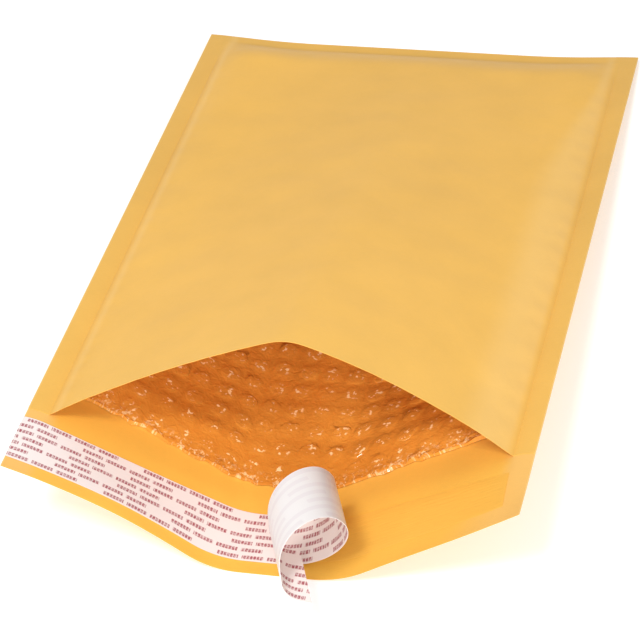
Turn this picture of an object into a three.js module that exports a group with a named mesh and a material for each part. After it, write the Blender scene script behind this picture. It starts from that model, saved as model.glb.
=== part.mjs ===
// A padded mailing envelope: a kraft paper pocket with a peel-and-seal flap, a bubble-film lining inside
// it, the flap's strip of adhesive, and the release liner, half peeled off and curled up. The envelope lies
// on its back panel with its mouth propped open. Millimetres, +Z up, +Y towards the closed end; z = 0 is
// the surface that it lies on, and the origin is under the middle of the whole part.
import * as THREE from "three";
import { mergeVertices } from "three/addons/utils/BufferGeometryUtils.js";

// Driving dimensions of the paper, measured along it.
const WIDTH = 215.9; // from side edge to side edge, 8.5 in
const LENGTH = 368.3; // from the closed end to the flap's edge, 14.5 in
const FLAP = 37.2;
const SIDE_SEAM = 8.7;
const END_SEAM = 6.5;
const PAPER = 0.4;
const POCKET = LENGTH - FLAP;
const INNER_WIDTH = WIDTH - 2 * SIDE_SEAM;

// The bubble film inside the paper.
const FILM_WALL = 3.8;
const FILM_THINNEST = 0.1; // where a seam crushes it
const FILM_SHARE = 0.42; // most of the gap between the panels that one wall of film takes
const FILM_RECESS = 9.8; // from the pocket's mouth back to the film's edge
const SIDE_RAMP = 12; // distance over which the padding fills out beside a side seam
const END_RAMP = 28; // the same, beside the end seam
const MOUTH_EASE = 0.75; // share of the padding's push that the open mouth takes up
const PAD_GAP = 9.4; // between the two panels, where only the padding holds them apart

// How far the envelope stands open: heights of the side edges, and the slopes at the mouth in degrees.
const CORNER_RISE = 2.5; // side edge above the rest surface, at the closed end
const FLAP_RISE = 41.6; // the same, at the flap's edge
const BACK_SLOPE = 31;
const BACK_FLAT = { closed: 52, mouth: 7, edge: [9, 17] }; // half width that lies flat; edge: left, right
const BACK_BEND = { closed: 34, mouth: 15, edge: [22, 22] }; // arc on either side of the flat strip
const SEAM_DROOP = -25; // turn from the back panel into the side seam
const LEFT_FLAP_DROOP = -16; // turn of the flap towards its left corner
const RIDGE = 14; // arc length of the front panel's ridge at the mouth
const RIDGE_SHARE = 0.524; // share of the rest that lies left of the ridge
const FRONT_FULLNESS = 0.3; // how much wider the front panel's paper is than the back's, at the mouth
const FRONT_START = 33;
const FRONT_TURNS = [-13.8, -33.5, -19.5]; // left slope, ridge, right slope

// The strip of adhesive on the flap, and the liner that covers it.
const CLEAR = 0.3; // gap between pieces that touch
const GLUE = 0.2;
const GLUE_INSET = { edge: 9, mouth: 9.2 }; // from the flap's edge and from the mouth
const LINER = 0.3;
const LINER_WIDTH = 25.4;
const LINER_INSET = 6; // from the flap's edge
const PEEL_X = 0.8; // where the liner leaves the flap, on its centre line
const CURL_SKEW = 21; // degrees between the curl's axis and the envelope's length
const CURL_LINKS = [[55, 128], [22.7, 104], [9.7, 38], [5, 0], [9.6, 84], [4, 0]]; // length, turn in degrees
const CURL_STEP = 12; // degrees a facet

const ROW_STEP = 26; // between stations along the pocket

const degrees = THREE.MathUtils.degToRad;
const mix = THREE.MathUtils.lerp;

// Runs along a chain of arcs that starts at the origin. A link is [length, turn], its turn in radians.
function alongChain(links, distance, heading = 0) {
  let [x, z] = [0, 0];
  for (const [length, turn] of links) {
    const run = Math.min(distance, length);
    const half = (turn * run) / length / 2;
    const chord = Math.abs(half) < 1e-9 ? run : (run * Math.sin(half)) / half;
    x += chord * Math.cos(heading + half);
    z += chord * Math.sin(heading + half);
    heading += 2 * half;
    distance -= run;
    if (distance <= 0) break;
  }
  return { x, z };
}

// The value in [low, high] where a rising function reaches its target.
function solve(rising, target, low, high) {
  for (let step = 0; step < 40; step++) {
    const middle = (low + high) / 2;
    if (rising(middle) < target) low = middle;
    else high = middle;
  }
  return (low + high) / 2;
}

// One half of the back sheet's cross-section, from the middle out to the side edge.
function backHalf(along, side) {
  const open = Math.min(along / POCKET, 1);
  const onFlap = THREE.MathUtils.smoothstep(along, POCKET, LENGTH);
  const between = ({ closed, mouth, edge }) =>
    mix(mix(closed, mouth, open), edge[side < 0 ? 0 : 1], onFlap);
  const flat = between(BACK_FLAT);
  const bend = between(BACK_BEND);
  const leg = WIDTH / 2 - SIDE_SEAM - flat - bend;
  const legTurn = side < 0 ? LEFT_FLAP_DROOP * onFlap : 0;
  const links = (scale) => [
    [flat, 0],
    [bend, degrees(BACK_SLOPE) * scale],
    [leg, degrees(legTurn) * scale],
    [SIDE_SEAM, degrees(SEAM_DROOP) * (1 - onFlap) * scale],
  ];
  const height = mix(CORNER_RISE, FLAP_RISE, along / LENGTH);
  const scale = solve((s) => alongChain(links(s), WIDTH / 2).z, height, 0, 1.6);
  return links(scale);
}

// The front panel's cross-section at the mouth: left slope, ridge and right slope, stretched between the
// side seams. It gives the point that lies a share of the way across.
function frontMouth(chord) {
  const width = INNER_WIDTH + FRONT_FULLNESS;
  const left = (width - RIDGE) * RIDGE_SHARE;
  const lengths = [left, RIDGE, width - RIDGE - left];
  const links = (scale) => lengths.map((length, i) => [length, degrees(FRONT_TURNS[i]) * scale]);
  const end = (scale) => alongChain(links(scale), width, degrees(FRONT_START) * scale);
  const scale = solve((s) => -Math.hypot(end(s).x, end(s).z), -chord, 0, 1.6);
  const tilt = Math.atan2(end(scale).z, end(scale).x);
  return (share) => alongChain(links(scale), share * width, degrees(FRONT_START) * scale - tilt);
}

// Stations across the paper and along it. They crowd towards the seams, where the padding fills out.
const fromSeam = [SIDE_RAMP, SIDE_RAMP * 0.6, SIDE_RAMP * 0.3, SIDE_RAMP * 0.08, 0, -SIDE_SEAM];
const rightHalf = [7, 15, 24, 37, 51, 65, 78, ...fromSeam.map((inset) => INNER_WIDTH / 2 - inset)];
const across = [...rightHalf.map((u) => -u).reverse(), 0, ...rightHalf];
const LAST_COLUMN = across.length - 1;

const filmEnd = POCKET - FILM_RECESS;
const rampEnd = END_SEAM + END_RAMP;
const down = [0, ...[0, 0.1, 0.33, 0.63, 1].map((share) => END_SEAM + share * END_RAMP)];
const longRows = Math.round((filmEnd - rampEnd) / ROW_STEP);
for (let i = 1; i <= longRows; i++) down.push(mix(rampEnd, filmEnd, i / longRows));
const FILM_ROW = down.length - 1;
down.push(POCKET);
const MOUTH_ROW = down.length - 1;
const linerEdge = LENGTH - LINER_INSET;
down.push(linerEdge - LINER_WIDTH, POCKET + GLUE_INSET.mouth, LENGTH - GLUE_INSET.edge, linerEdge, LENGTH);
const LAST_ROW = down.length - 1;

// Builds a layer, a grid of points with one row for each station along the paper.
function layer(pointAt) {
  return down.map((along, row) => across.map((_, column) => pointAt(row, column, along)));
}

// How far a point of the back sheet lies from the middle. The side edges run straight from end to end.
const edgeReach = (along, side) => alongChain(backHalf(along, side), WIDTH / 2).x;
function backSection(along, u) {
  const side = Math.sign(u);
  const { x, z } = alongChain(backHalf(along, side), Math.abs(u));
  const straight = mix(edgeReach(0, side), edgeReach(LENGTH, side), along / LENGTH);
  return { x: (side * x * straight) / edgeReach(along, side), z };
}

// A straight line down the paper keeps its length as it rises or moves sideways.
function reachDown(along, rise, shift) {
  return -Math.sqrt(Math.max(along ** 2 - rise ** 2 - shift ** 2, 0));
}

function backPoint(along, u) {
  const [here, start] = [backSection(along, u), backSection(0, u)];
  return new THREE.Vector3(here.x, reachDown(along, here.z - start.z, here.x - start.x), here.z);
}

// Unit normal of a layer at one of its points, from the neighbours there.
function normalAt(grid, row, column) {
  const clampRow = (r) => Math.min(Math.max(r, 0), LAST_ROW);
  const clampColumn = (c) => Math.min(Math.max(c, 0), LAST_COLUMN);
  const toRight = grid[row][clampColumn(column + 1)].clone().sub(grid[row][clampColumn(column - 1)]);
  const toMouth = grid[clampRow(row + 1)][column].clone().sub(grid[clampRow(row - 1)][column]);
  return toMouth.cross(toRight).normalize();
}

// A layer that lies a distance above another, along its normals. The distance may vary over the layer.
function raised(grid, distanceAt) {
  return layer((row, column) =>
    grid[row][column].clone().addScaledVector(normalAt(grid, row, column), distanceAt(row, column)));
}

const isSeam = (row, column) => column <= 1 || column >= LAST_COLUMN - 1 || row <= 1;

// The gap that padding alone keeps between the panels: it grows from nothing at a seam.
function padding(row, column) {
  const fromSide = THREE.MathUtils.clamp((INNER_WIDTH / 2 - Math.abs(across[column])) / SIDE_RAMP, 0, 1);
  const fromEnd = THREE.MathUtils.clamp((down[row] - END_SEAM) / END_RAMP, 0, 1);
  const ease = 1 - MOUTH_EASE * (down[row] / POCKET) ** 2;
  return PAD_GAP * ease * Math.sqrt(1 - (1 - fromSide) ** 2) * Math.sin((fromEnd * Math.PI) / 2);
}

const backOutside = layer((row, column, along) => backPoint(along, across[column]));
const backInside = raised(backOutside, () => PAPER);

// The front panel runs straight from the end seam to the mouth, lifted by the padding where that is higher.
const [mouthLeft, mouthRight] = [backInside[MOUTH_ROW][1], backInside[MOUTH_ROW][LAST_COLUMN - 1]];
const mouthPoint = frontMouth(mouthRight.x - mouthLeft.x);
const frontInside = layer((row, column, along) => {
  const floor = backInside[row][column];
  if (isSeam(row, column) || row > MOUTH_ROW) return floor.clone();
  const start = backInside[1][column];
  const { x, z } = mouthPoint(across[column] / INNER_WIDTH + 0.5);
  const height = mouthLeft.z + z;
  const end = new THREE.Vector3(mouthLeft.x + x, reachDown(POCKET, height - start.z, 0), height);
  const point = start.clone().lerp(end, (along - END_SEAM) / (POCKET - END_SEAM));
  point.z = floor.z + Math.hypot(Math.max(point.z - floor.z, 0), padding(row, column));
  return point;
});
const frontOutside = raised(frontInside, () => PAPER);

// Closed bodies are gathered from quads, each given anticlockwise as seen from outside.
class Body {
  corners = [];

  quad(a, b, c, d) {
    this.corners.push(a, b, c, a, c, d);
  }

  // Faces over the cells between two columns and two rows of a layer.
  surface(grid, columns, rows, facesUp) {
    for (let row = rows[0]; row < rows[1]; row++) {
      for (let column = columns[0]; column < columns[1]; column++) {
        const [a, b] = [grid[row][column], grid[row + 1][column]];
        const [c, d] = [grid[row + 1][column + 1], grid[row][column + 1]];
        if (facesUp) this.quad(a, b, c, d);
        else this.quad(a, d, c, b);
      }
    }
  }

  // A wall from one layer up to another along a run of points, facing right of the way it runs.
  wall(lower, upper, path) {
    for (let i = 1; i < path.length; i++) {
      const [[r0, c0], [r1, c1]] = [path[i - 1], path[i]];
      this.quad(lower[r0][c0], lower[r1][c1], upper[r1][c1], upper[r0][c0]);
    }
  }

  geometry() {
    const positions = this.corners.flatMap((corner) => corner.toArray());
    const geometry = new THREE.BufferGeometry();
    geometry.setAttribute("position", new THREE.Float32BufferAttribute(positions, 3));
    return mergeVertices(geometry, 1e-4);
  }
}

const steps = (from, to) =>
  Array.from({ length: Math.abs(to - from) + 1 }, (_, i) => from + Math.sign(to - from) * i);
const downColumn = (column, from, to) => steps(from, to).map((row) => [row, column]);
const alongRow = (row, from, to) => steps(from, to).map((column) => [row, column]);

// Round a patch of the grid, anticlockwise from above.
function outline(columns, rows) {
  return [
    ...downColumn(columns[0], rows[0], rows[1]),
    ...alongRow(rows[1], columns[0], columns[1]).slice(1),
    ...downColumn(columns[1], rows[1], rows[0]).slice(1),
    ...alongRow(rows[0], columns[1], columns[0]).slice(1),
  ];
}

// A bag with its mouth towards -Y. Its four layers meet along the first and last columns and the first row,
// and its floor may run on past the mouth as a flap.
function bag({ under, floor, ceiling, top }, columns, rows, flapRow) {
  const body = new Body();
  const within = [columns[0] + 1, columns[1] - 1];
  const inside = [rows[0] + 1, rows[1]];
  body.surface(under, columns, [rows[0], flapRow], false);
  body.surface(top, columns, rows, true);
  body.surface(floor, within, inside, true);
  body.surface(floor, columns, [rows[1], flapRow], true);
  body.surface(ceiling, within, inside, false);
  body.wall(under, floor, outline(columns, [rows[0], flapRow]));
  body.wall(ceiling, top, outline(columns, rows));
  return body.geometry();
}

// A flat slab over a patch of the grid.
function slab(lower, upper, columns, rows) {
  const body = new Body();
  body.surface(lower, columns, rows, false);
  body.surface(upper, columns, rows, true);
  body.wall(lower, upper, outline(columns, rows));
  return body.geometry();
}

function kraftEnvelope() {
  const layers = { under: backOutside, floor: backInside, ceiling: frontInside, top: frontOutside };
  return bag(layers, [0, LAST_COLUMN], [0, MOUTH_ROW], LAST_ROW);
}

// The film's walls are crushed thinner towards the seams, where its two halves are welded together.
function bubbleLining() {
  const [first, last, firstRow] = [3, LAST_COLUMN - 3, 3];
  const gapAt = (row, column) => backInside[row][column].distanceTo(frontInside[row][column]);
  const wallAt = (row, column) =>
    Math.max(Math.min(FILM_WALL, FILM_SHARE * (gapAt(row, column) - 2 * CLEAR)), FILM_THINNEST);
  const under = raised(backInside, () => CLEAR);
  const top = raised(frontInside, () => -CLEAR);
  const welded = (row, column) => column <= first + 1 || column >= last - 1 || row <= firstRow + 1;
  const middle = (row, column) => under[row][column].clone().lerp(top[row][column], 0.5);
  const openFloor = raised(backInside, (row, column) => CLEAR + wallAt(row, column));
  const openCeiling = raised(frontInside, (row, column) => -CLEAR - wallAt(row, column));
  const choose = (open) =>
    layer((row, column) => (welded(row, column) ? middle(row, column) : open[row][column]));
  const layers = { under, floor: choose(openFloor), ceiling: choose(openCeiling), top };
  return bag(layers, [first, last], [firstRow, FILM_ROW], FILM_ROW);
}

const LINER_ROWS = [MOUTH_ROW + 1, LAST_ROW - 1];
const GLUE_ROWS = [MOUTH_ROW + 2, LAST_ROW - 2];

function adhesiveStrip() {
  const lower = raised(backInside, () => CLEAR);
  const upper = raised(backInside, () => CLEAR + GLUE);
  return slab(lower, upper, [1, LAST_COLUMN - 1], GLUE_ROWS);
}

// The liner lies over the adhesive from the left side seam to the peel line, and then winds round a
// cylinder whose axis is skewed to it, so that its turns advance towards -Y.
function releaseLiner() {
  const lift = CLEAR + GLUE + CLEAR;
  const skew = degrees(CURL_SKEW);
  const lastFlat = across.filter((u) => u < PEEL_X - (LINER_WIDTH / 2) * Math.tan(skew)).length - 1;
  const rowsOfLiner = steps(LINER_ROWS[0], LINER_ROWS[1]);
  const base = raised(backInside, () => lift);
  const flat = steps(0, lastFlat).map((column) =>
    rowsOfLiner.map((row) => ({ point: base[row][column], normal: normalAt(backInside, row, column) })));

  const forward = new THREE.Vector3(Math.cos(skew), Math.sin(skew), 0);
  const axis = new THREE.Vector3(Math.sin(skew), -Math.cos(skew), 0);
  const upward = new THREE.Vector3(0, 0, 1);
  const links = CURL_LINKS.map(([length, turn]) => [length, degrees(turn)]);
  const centreRow = linerEdge - LINER_WIDTH / 2;
  const peel = new THREE.Vector3(PEEL_X, -centreRow, PAPER + lift);
  const curled = [];
  let unrolled = 0;
  for (const [length, turn] of CURL_LINKS) {
    const facets = Math.max(Math.round(turn / CURL_STEP), 1);
    for (let i = 0; i < facets; i++) {
      curled.push(unrolled);
      unrolled += length / facets;
    }
  }
  curled.push(unrolled);
  const headings = curled.map((distance) => {
    let [heading, left] = [0, distance];
    for (const [length, turn] of links) {
      heading += (turn * Math.min(left, length)) / length;
      left = Math.max(left - length, 0);
    }
    return heading;
  });
  const wound = curled.map((distance, i) => {
    const section = alongChain(links, distance);
    return rowsOfLiner.map((row) => {
      const w = centreRow - down[row];
      const v = (distance * Math.sin(skew) - w) / Math.cos(skew);
      const point = peel.clone().addScaledVector(forward, section.x);
      point.addScaledVector(axis, v).addScaledVector(upward, section.z);
      const normal = forward.clone().multiplyScalar(-Math.sin(headings[i]));
      return { point, normal: normal.addScaledVector(upward, Math.cos(headings[i])) };
    });
  });
  const rings = [...flat, ...wound];
  const lower = rings.map((ring) => ring.map(({ point }) => point));
  const upper = rings.map((ring) =>
    ring.map(({ point, normal }) => point.clone().addScaledVector(normal, LINER)));
  const turned = (grid) => rowsOfLiner.map((_, row) => grid.map((ring) => ring[row]));
  return slab(turned(lower), turned(upper), [0, rings.length - 1], [0, rowsOfLiner.length - 1]);
}

const kraft = { color: 0xe8a94a, roughness: 0.75, metalness: 0 };
const pieces = {
  kraft_envelope: [kraftEnvelope, kraft],
  bubble_lining: [bubbleLining, { color: 0xd98a3a, roughness: 0.25, metalness: 0 }],
  adhesive_strip: [adhesiveStrip, { color: 0xf0c070, roughness: 0.3, metalness: 0 }],
  release_liner: [releaseLiner, { color: 0xf6ecec, roughness: 0.5, metalness: 0 }],
};

const envelope = new THREE.Group();
for (const [name, [make, finish]] of Object.entries(pieces)) {
  const mesh = new THREE.Mesh(make(), new THREE.MeshStandardMaterial(finish));
  mesh.name = name;
  envelope.add(mesh);
}

// The origin goes under the middle of the whole part.
const extent = new THREE.Box3().setFromObject(envelope);
const middle = extent.getCenter(new THREE.Vector3());
envelope.position.set(-middle.x, -middle.y, -extent.min.z);

export default envelope;
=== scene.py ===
import math

import bpy
import numpy as np
from mathutils import Matrix, Vector


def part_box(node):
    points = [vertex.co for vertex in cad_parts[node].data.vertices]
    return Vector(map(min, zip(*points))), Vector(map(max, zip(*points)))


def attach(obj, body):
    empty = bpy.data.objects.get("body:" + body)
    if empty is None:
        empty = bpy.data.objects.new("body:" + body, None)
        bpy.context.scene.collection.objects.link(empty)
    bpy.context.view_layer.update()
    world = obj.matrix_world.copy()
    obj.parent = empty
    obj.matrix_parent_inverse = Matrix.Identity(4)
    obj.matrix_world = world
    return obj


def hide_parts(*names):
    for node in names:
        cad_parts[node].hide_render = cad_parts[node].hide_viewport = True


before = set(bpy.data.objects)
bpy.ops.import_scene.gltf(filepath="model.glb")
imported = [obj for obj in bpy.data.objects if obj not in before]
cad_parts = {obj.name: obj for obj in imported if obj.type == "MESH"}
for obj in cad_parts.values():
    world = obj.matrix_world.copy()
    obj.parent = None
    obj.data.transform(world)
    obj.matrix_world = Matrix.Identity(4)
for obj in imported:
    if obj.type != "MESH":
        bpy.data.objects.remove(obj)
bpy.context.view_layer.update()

bl_info = {
    "name": "Padded Envelope",
    "version": (1, 0, 0),
    "blender": (4, 5, 0),
    "location": "View3D > Sidebar > Mailer",
    "description": "Builds a padded kraft mailer with its bubble lining and a half-peeled release liner",
    "category": "Add Mesh",
}

MM = 0.001
KRAFT_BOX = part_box("kraft_envelope")


# ---- Settings ----


def length(name, description, default, smallest=0.0, largest=1.0):
    """A length that the sidebar shows with its unit."""
    return bpy.props.FloatProperty(
        name=name, description=description, default=default, min=smallest, max=largest,
        precision=4, subtype="DISTANCE", unit="LENGTH",
    )


def colour(name, description, default):
    """A linear colour with a picker."""
    return bpy.props.FloatVectorProperty(
        name=name, description=description, default=default, size=3, min=0.0, max=1.0, subtype="COLOR",
    )


def share(name, description, default, largest=1.0):
    """A plain number from 0 up."""
    return bpy.props.FloatProperty(
        name=name, description=description, default=default, min=0.0, max=largest, subtype="FACTOR",
    )


class PaperSettings(bpy.types.PropertyGroup):
    """Kraft paper, and how it is folded and seamed"""

    width: length("Width", "From side edge to side edge, measured along the paper", 0.2159)
    sheet_length: length("Length", "From the closed end to the flap's edge, along the paper", 0.3683)
    flap: length("Flap", "Length of the flap beyond the mouth", 0.0372)
    side_seam: length("Side seam", "Width of the crushed seam along each side", 0.0087)
    end_seam: length("End seam", "Width of the crushed seam at the closed end", 0.0065)
    thickness: length("Thickness", "Thickness of the paper", 0.00016)
    grid: length("Grid", "Spacing of the mesh's stations over the panels", 0.0024, 0.001, 0.02)
    cockle: length("Cockle", "Depth of the soft waves in the front panel", 0.00028)
    pucker_and_glint: length("Pucker", "Depth of the small gathers beside the side seams", 0.00014)
    telegraph: length("Telegraph", "Height that the bubbles under the paper show through it", 0.00010)
    outside: colour("Outside", "Colour of the outer face", (0.83, 0.47, 0.088))
    inside: colour("Inside", "Colour of the inner face, seen on the flap", (0.86, 0.46, 0.064))
    # Painted shade: a duller, darker tone along the flap's sides on its inner face.
    painted_flap_side_shade: colour("Worn", "Duller tone along the flap's sides", (0.81, 0.46, 0.125))
    # Painted light: a paler band beside each side seam on the outer face.
    painted_light_beside_seams: colour("Rubbed", "Paler tone beside the seams", (0.87, 0.56, 0.19))


class FilmSettings(bpy.types.PropertyGroup):
    """Bubble film that lines the pocket"""

    wall: length("Wall", "Height of the film with its bubbles full", 0.0038)
    lifted: share("Lifted", "Share of the wall that lies below the film's inner face", 0.89)
    pitch_across: length("Pitch across", "Spacing of the bubbles across the envelope", 0.0109, 0.004, 0.05)
    pitch_along: length("Pitch along", "Spacing of the bubbles along the envelope", 0.0121, 0.004, 0.05)
    bubble: length("Bubble", "Radius of a bubble at its foot", 0.0051)
    recess_middle: length("Recess", "From the mouth back to the film's edge, in the middle", 0.0100)
    recess_side: length("Recess at sides", "The same, beside the side seams", 0.0168)
    # The film's tone, with the crowns painted a little lighter and the hollows between them a little
    # darker, as painted light and shade.
    crest_and_painted_light: colour("Crest", "Tone of the bubbles' crowns", (0.98, 0.47, 0.080))
    valley_and_painted_shade: colour("Valley", "Tone between the bubbles", (0.95, 0.43, 0.068))
    rim: colour("Rim", "Deeper tone towards the film's edge", (0.62, 0.215, 0.026))
    # Painted highlight: the crowns' and rim's pale marks glow faintly in this colour.
    glint: colour("Glint", "Faint glow of the puckers, which stands for their sparkle", (1.0, 0.74, 0.42))
    # Pale tone of creased film, laid on the crowns and along the rim as painted highlights.
    whitened_and_highlight: colour("Whitened", "Tone of creased and stretched film", (1.0, 0.80, 0.46))


class LinerSettings(bpy.types.PropertyGroup):
    """Release liner, and the adhesive that it covers"""

    width: length("Width", "Width of the liner", 0.0254)
    inset: length("Inset", "From the flap's edge to the liner", 0.006)
    thickness: length("Thickness", "Thickness of the liner", 0.0002)
    print_pitch: length("Row pitch", "Spacing of the printed rows", 0.0037, 0.001, 0.02)
    print_height: length("Row height", "Height of the printed dashes", 0.0019)
    face: colour("Face", "Printed face's paper", (0.84, 0.75, 0.72))
    back: colour("Back", "Release-coated back", (0.71, 0.68, 0.67))
    ink: colour("Ink", "Colour of the printed dashes", (0.33, 0.045, 0.070))
    glue: colour("Adhesive", "Tone of the paper under the adhesive", (0.85, 0.45, 0.070))


class StageSettings(bpy.types.PropertyGroup):
    """Floor, lights and camera"""

    floor: colour("Floor", "Colour of the floor", (0.90, 0.90, 0.90))
    glow: share("Glow", "How much the floor is lit from below, as on a light table", 0.25)
    key_power: bpy.props.FloatProperty(
        name="Key light", description="Power of the big soft light", default=8.4, min=0.0, unit="POWER"
    )
    fill_power: bpy.props.FloatProperty(
        name="Fill light", description="Power of the fill light", default=7.4, min=0.0, unit="POWER"
    )
    sky: share("Sky", "Brightness of the surroundings", 0.63, 4.0)
    lens: bpy.props.FloatProperty(
        name="Lens", description="Focal length on a 36 mm sensor", default=125.76, min=10.0, unit="CAMERA"
    )


# ---- Shader arithmetic ----


class Field:
    """A number, colour or vector that varies over a surface. Arithmetic on it adds Math nodes."""

    def __init__(self, finish, socket):
        self.finish = finish
        self.socket = socket

    def math(self, operation, *values):
        return self.finish.add("ShaderNodeMath", {"operation": operation}, dict(enumerate(values)))

    def __add__(self, other):
        return self.math("ADD", self, other)

    __radd__ = __add__

    def __sub__(self, other):
        return self.math("SUBTRACT", self, other)

    def __rsub__(self, other):
        return self.math("SUBTRACT", other, self)

    def __mul__(self, other):
        return self.math("MULTIPLY", self, other)

    __rmul__ = __mul__

    def __truediv__(self, other):
        return self.math("DIVIDE", self, other)

    def __abs__(self):
        return self.math("ABSOLUTE", self)

    def floor(self):
        return self.math("FLOOR", self)

    def fraction(self):
        return self.math("FRACT", self)

    def ramp(self, low, high):
        """0 below low, 1 above high, and smooth between them."""
        return self.finish.add(
            "ShaderNodeMapRange", {"interpolation_type": "SMOOTHSTEP"},
            {"Value": self, "From Min": low, "From Max": high},
        )


class Finish:
    """A material on a Principled shader, and the nodes that feed it."""

    def __init__(self, name, **constants):
        self.material = bpy.data.materials.new(name)
        self.material.use_nodes = True
        self.tree = self.material.node_tree
        self.shader = self.tree.nodes["Principled BSDF"]
        for socket, value in constants.items():
            self.shader.inputs[socket.replace("_", " ")].default_value = value

    def add(self, kind, settings=None, values=None, output=0):
        """Adds a node, applies its settings first, and then fills its sockets with numbers or fields."""
        node = self.tree.nodes.new(kind)
        for key, value in (settings or {}).items():
            setattr(node, key, value)
        for key, value in (values or {}).items():
            self.feed(node.inputs[key], value)
        return Field(self, node.outputs[output])

    def feed(self, socket, value):
        """Links a field to a socket, or sets the socket to a number or colour."""
        if isinstance(value, Field):
            self.tree.links.new(value.socket, socket)
        elif hasattr(value, "__len__") and len(value) == 3 and socket.type == "RGBA":
            socket.default_value = (*value, 1.0)
        else:
            socket.default_value = value

    def place(self, name="sheet_place"):
        """Flat position on the sheet in millimetres: across, along, and which face it is."""
        return self.add("ShaderNodeAttribute", {"attribute_name": name}, output="Vector")

    def parts(self, vector):
        """A vector's three numbers."""
        node = self.tree.nodes.new("ShaderNodeSeparateXYZ")
        self.feed(node.inputs[0], vector)
        return [Field(self, node.outputs[i]) for i in range(3)]

    def joined(self, x, y, z=0.0):
        return self.add("ShaderNodeCombineXYZ", {}, {0: x, 1: y, 2: z})

    def stretched(self, vector, scale):
        return self.add("ShaderNodeVectorMath", {"operation": "MULTIPLY"}, {0: vector, 1: scale})

    def noise(self, vector, scale, detail=3.0, roughness=0.5, distortion=0.0):
        return self.add(
            "ShaderNodeTexNoise", {"noise_dimensions": "3D"},
            {
                "Vector": vector, "Scale": scale, "Detail": detail,
                "Roughness": roughness, "Distortion": distortion,
            },
        )

    def blend(self, first, second, factor):
        """The first colour where the factor is 0, and the second where it is 1."""
        node = self.tree.nodes.new("ShaderNodeMix")
        node.data_type = "RGBA"
        colour_inputs = [s for s in node.inputs if s.type == "RGBA"]
        self.feed(node.inputs["Factor"], factor)
        self.feed(colour_inputs[0], first)
        self.feed(colour_inputs[1], second)
        return Field(self, next(s for s in node.outputs if s.type == "RGBA"))

    def shade(self, colour_field, amount):
        """A colour made darker or lighter by an amount about 1."""
        return self.add(
            "ShaderNodeVectorMath", {"operation": "SCALE"}, {0: colour_field, "Scale": amount}
        )

    def bump(self, height, depth, strength):
        """Fine relief: a height of 1 stands this depth in metres."""
        sockets = {"Height": height, "Distance": depth, "Strength": strength}
        normal = self.add("ShaderNodeBump", {}, sockets, output="Normal")
        self.feed(self.shader.inputs["Normal"], normal)

    def paint(self, **fields):
        for socket, value in fields.items():
            self.feed(self.shader.inputs[socket.replace("_", " ")], value)
        return self.material


def kraft_finish(paper):
    """Golden kraft paper: long fibres, a soft mottle, dark specks and paler cut edges, with painted light
    beside the side seams and painted shade over the seams and along the flap's sides.
    """
    finish = Finish("kraft_paper", Specular_IOR_Level=0.32, Sheen_Weight=0.06)
    across, along, face = finish.parts(finish.place())
    flat = finish.joined(across, along)
    mottle = finish.noise(flat, 0.045, 4.0, 0.6)
    cloud = finish.noise(flat, 0.011, 2.0, 0.5)
    fibres = finish.noise(finish.stretched(flat, (0.35, 2.2, 1.0)), 1.1, 5.0, 0.65, 0.4)
    specks = finish.noise(flat, 1.6, 2.0, 0.4).ramp(0.70, 0.76)
    half_width, seam = paper.width / MM / 2, paper.side_seam / MM
    from_edge = half_width - abs(across)
    in_seam = 1 - from_edge.ramp(seam - 0.8, seam + 2.2)
    in_end = 1 - along.ramp(paper.end_seam / MM - 0.8, paper.end_seam / MM + 2.0)
    # Painted light beside the side seams: a paler band, wider on the right and towards the mouth.
    wide = 5 + 13 * across.ramp(-60, 60) * along.ramp(20, 150)
    beside = from_edge.ramp(seam + 0.5, seam + 4) * (1 - ((from_edge - seam) / wide).ramp(0.75, 1.5))
    # The seams: smoother, and their outer face darkened as painted shade.
    pressed_and_shaded = in_seam.math("MAXIMUM", in_seam, in_end)
    edge = 1 - from_edge.ramp(0.1, 0.7)
    body = finish.blend(paper.outside, paper.inside, face)
    body = finish.blend(body, paper.painted_light_beside_seams, beside * 0.42 * (1 - face))
    flap_from, flap_to = (paper.sheet_length - paper.flap) / MM, paper.sheet_length / MM
    # Painted shade along the flap's sides, on the inner face, wider on the right and towards the flap's
    # edge.
    painted_shade_width = 6 + 24 * across.ramp(0, 70) * along.ramp(flap_from + 6, flap_to)
    painted_flap_side_shade = 1 - ((from_edge + (mottle - 0.5) * 8 - seam + 1) / painted_shade_width).ramp(0, 1)
    body = finish.blend(body, paper.painted_flap_side_shade, face * painted_flap_side_shade * 0.8)
    body = finish.blend(body, (0.60, 0.30, 0.055), specks * 0.22)
    body = finish.blend(body, (0.93, 0.70, 0.36), edge * 0.35)
    tone = 1 + (mottle - 0.5) * 0.12 + (cloud - 0.5) * (0.14 + 0.12 * face) + (fibres - 0.5) * 0.12
    # Painted shade over the seams' outer face.
    tone = tone - pressed_and_shaded * (1 - face) * 0.07
    finish.bump(fibres * 0.55 + mottle * 0.8, 0.00024, 0.6)
    return finish.paint(
        Base_Color=finish.shade(body, tone), Roughness=0.60 + (fibres - 0.5) * 0.16 - pressed_and_shaded * 0.08
    )


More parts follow.
